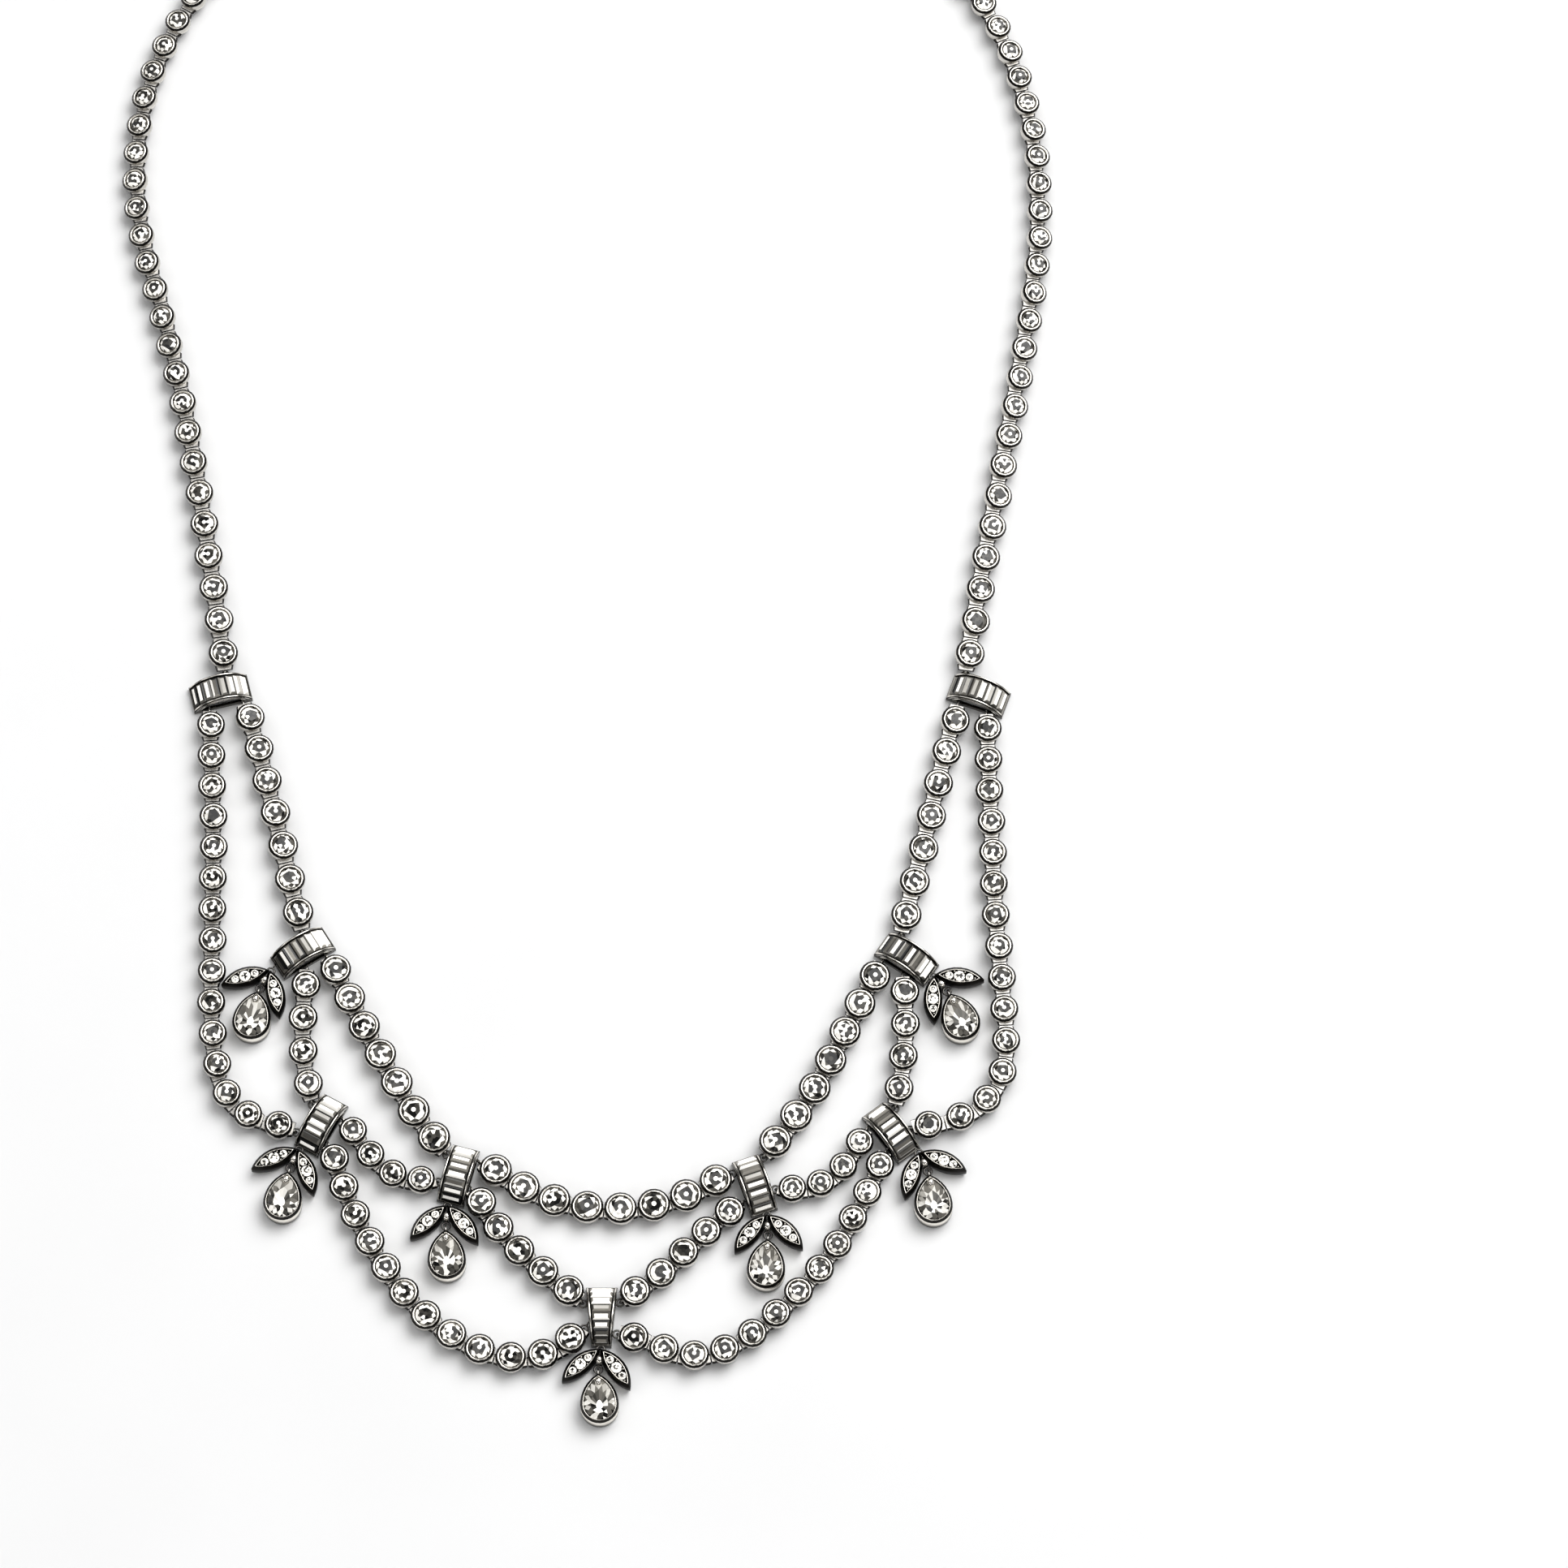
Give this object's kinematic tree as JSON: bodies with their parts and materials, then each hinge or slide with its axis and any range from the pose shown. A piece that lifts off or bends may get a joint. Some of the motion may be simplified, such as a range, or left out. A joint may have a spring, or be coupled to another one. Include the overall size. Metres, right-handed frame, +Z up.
{
  "type": "diamond bib necklace",
  "caption": "Bib necklace of linked round-stone collets, parted by arched baguette bars with leaf-and-pear drops, lying open as a whole loop with a plain box clasp at the back.",
  "frame": {"origin": "middle of the whole loop's length and width, on the surface that it lies on", "axes": "+X across the necklace, to the right as the picture shows it; +Y from the centre drop up to the clasp; +Z up from the surface"},
  "size_m": [0.1113, 0.2012, 0.003],
  "materials": {
    "white_metal": "polished",
    "stone_set_metal": "polished metal with set stones",
    "diamond": "faceted and polished"
  },
  "bodies": {
    "root": {"back_chain_left": "stone_set_metal", "back_chain_right": "stone_set_metal", "neck_left": "stone_set_metal", "neck_right": "stone_set_metal", "outer_left": "stone_set_metal", "outer_right": "stone_set_metal", "inner_upper_left": "stone_set_metal", "inner_upper_right": "stone_set_metal", "middle_upper_left": "stone_set_metal", "middle_upper_right": "stone_set_metal", "inner_lower_left": "stone_set_metal", "inner_lower_right": "stone_set_metal", "inner_centre": "stone_set_metal", "middle_lower_left": "stone_set_metal", "middle_lower_right": "stone_set_metal", "middle_centre_left": "stone_set_metal", "middle_centre_right": "stone_set_metal", "lower_swag_left": "stone_set_metal", "lower_swag_right": "stone_set_metal", "bar_top_left": "white_metal", "bar_top_right": "white_metal", "bar_upper_left": "white_metal", "bar_upper_right": "white_metal", "bar_outer_left": "white_metal", "bar_outer_right": "white_metal", "bar_inner_left": "white_metal", "bar_inner_right": "white_metal", "bar_centre": "white_metal", "baguettes_top_left": "diamond", "baguettes_top_right": "diamond", "baguettes_upper_left": "diamond", "baguettes_upper_right": "diamond", "baguettes_outer_left": "diamond", "baguettes_outer_right": "diamond", "baguettes_inner_left": "diamond", "baguettes_inner_right": "diamond", "baguettes_centre": "diamond", "leaf_pair_upper_left": "stone_set_metal", "leaf_pair_upper_right": "stone_set_metal", "leaf_pair_outer_left": "stone_set_metal", "leaf_pair_outer_right": "stone_set_metal", "leaf_pair_inner_left": "stone_set_metal", "leaf_pair_inner_right": "stone_set_metal", "leaf_pair_centre": "stone_set_metal", "pear_setting_upper_left": "white_metal", "pear_setting_upper_right": "white_metal", "pear_setting_outer_left": "white_metal", "pear_setting_outer_right": "white_metal", "pear_setting_inner_left": "white_metal", "pear_setting_inner_right": "white_metal", "pear_setting_centre": "white_metal", "pear_stone_upper_left": "diamond", "pear_stone_upper_right": "diamond", "pear_stone_outer_left": "diamond", "pear_stone_outer_right": "diamond", "pear_stone_inner_left": "diamond", "pear_stone_inner_right": "diamond", "pear_stone_centre": "diamond", "clasp": "white_metal"}
  },
  "joints": []
}
